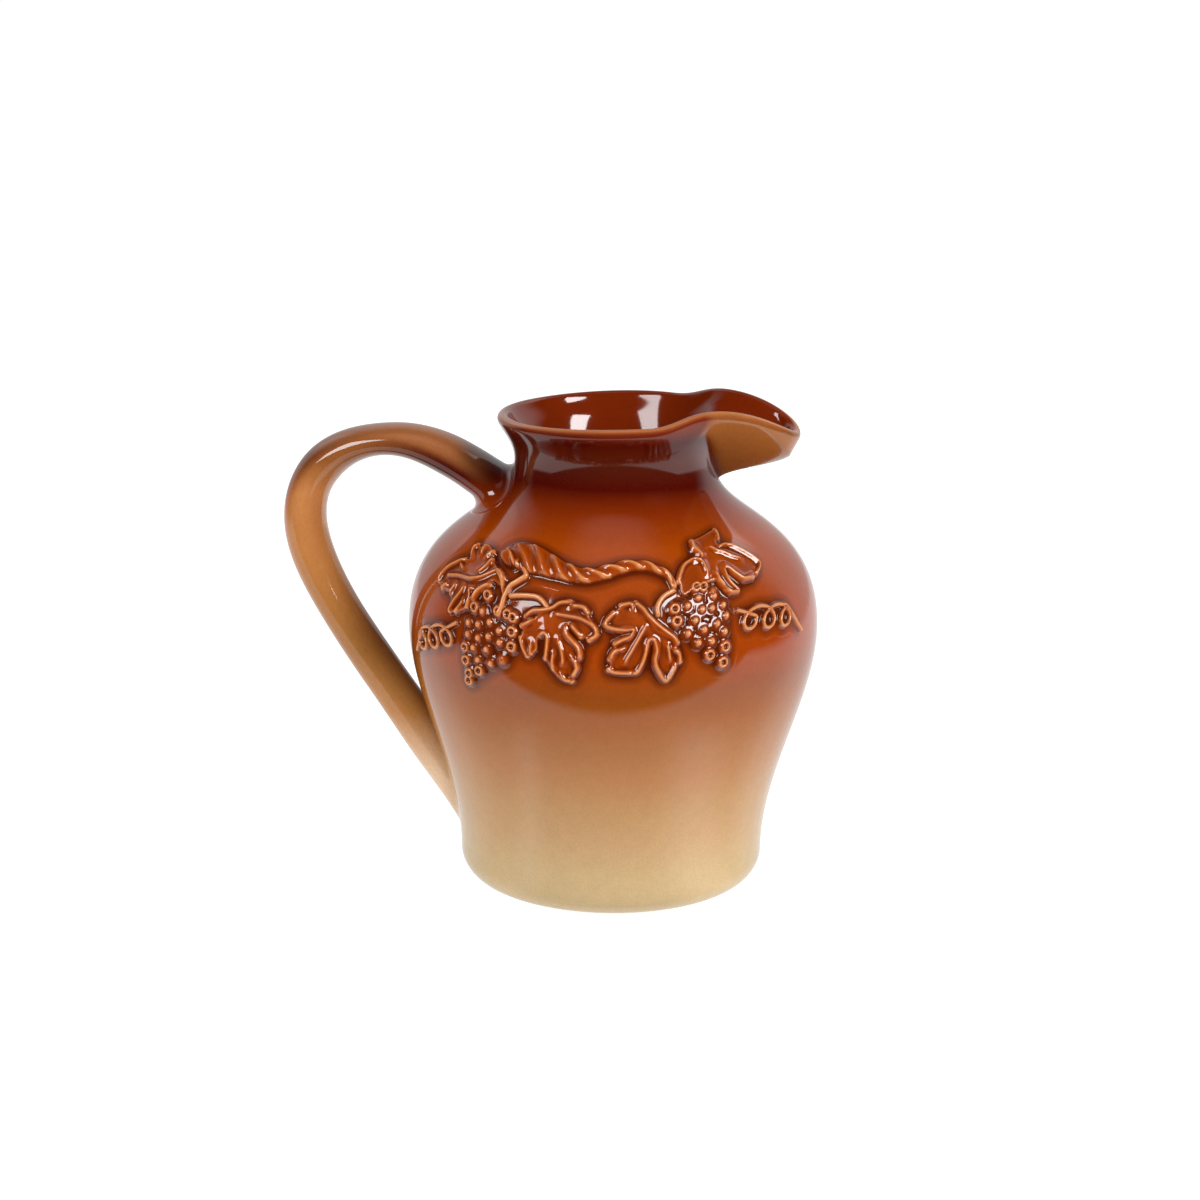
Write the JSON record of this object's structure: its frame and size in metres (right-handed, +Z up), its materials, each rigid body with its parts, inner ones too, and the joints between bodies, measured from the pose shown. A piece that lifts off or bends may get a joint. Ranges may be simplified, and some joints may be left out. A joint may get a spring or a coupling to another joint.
{
  "type": "stoneware jug",
  "caption": "Round-bellied glazed jug with a pulled spout, a looped strap handle and a moulded grapevine garland on each side.",
  "frame": {"origin": "centre of the base, on the surface the jug stands on", "axes": "+Z up; +X towards the spout; -X towards the handle; -Y towards the front garland"},
  "size_m": [0.1478, 0.1156, 0.1343],
  "materials": {
    "brown_glaze": "gloss",
    "spout_glaze": "gloss",
    "handle_glaze": "gloss",
    "sprig_glaze": "gloss"
  },
  "bodies": {
    "root": {"body": "brown_glaze", "pouring_spout": "spout_glaze", "handle": "handle_glaze", "vine_branch_front": "sprig_glaze", "left_bunch_stem_front": "sprig_glaze", "left_leaf_stem_front": "sprig_glaze", "right_leaf_stem_front": "sprig_glaze", "outer_left_leaf_front": "sprig_glaze", "centre_left_leaf_front": "sprig_glaze", "centre_right_leaf_front": "sprig_glaze", "outer_right_leaf_front": "sprig_glaze", "left_grape_bunch_front": "sprig_glaze", "right_grape_bunch_front": "sprig_glaze", "left_tendril_front": "sprig_glaze", "right_tendril_front": "sprig_glaze", "vine_branch_back": "sprig_glaze", "left_bunch_stem_back": "sprig_glaze", "left_leaf_stem_back": "sprig_glaze", "right_leaf_stem_back": "sprig_glaze", "outer_left_leaf_back": "sprig_glaze", "centre_left_leaf_back": "sprig_glaze", "centre_right_leaf_back": "sprig_glaze", "outer_right_leaf_back": "sprig_glaze", "left_grape_bunch_back": "sprig_glaze", "right_grape_bunch_back": "sprig_glaze", "left_tendril_back": "sprig_glaze", "right_tendril_back": "sprig_glaze"}
  },
  "joints": []
}
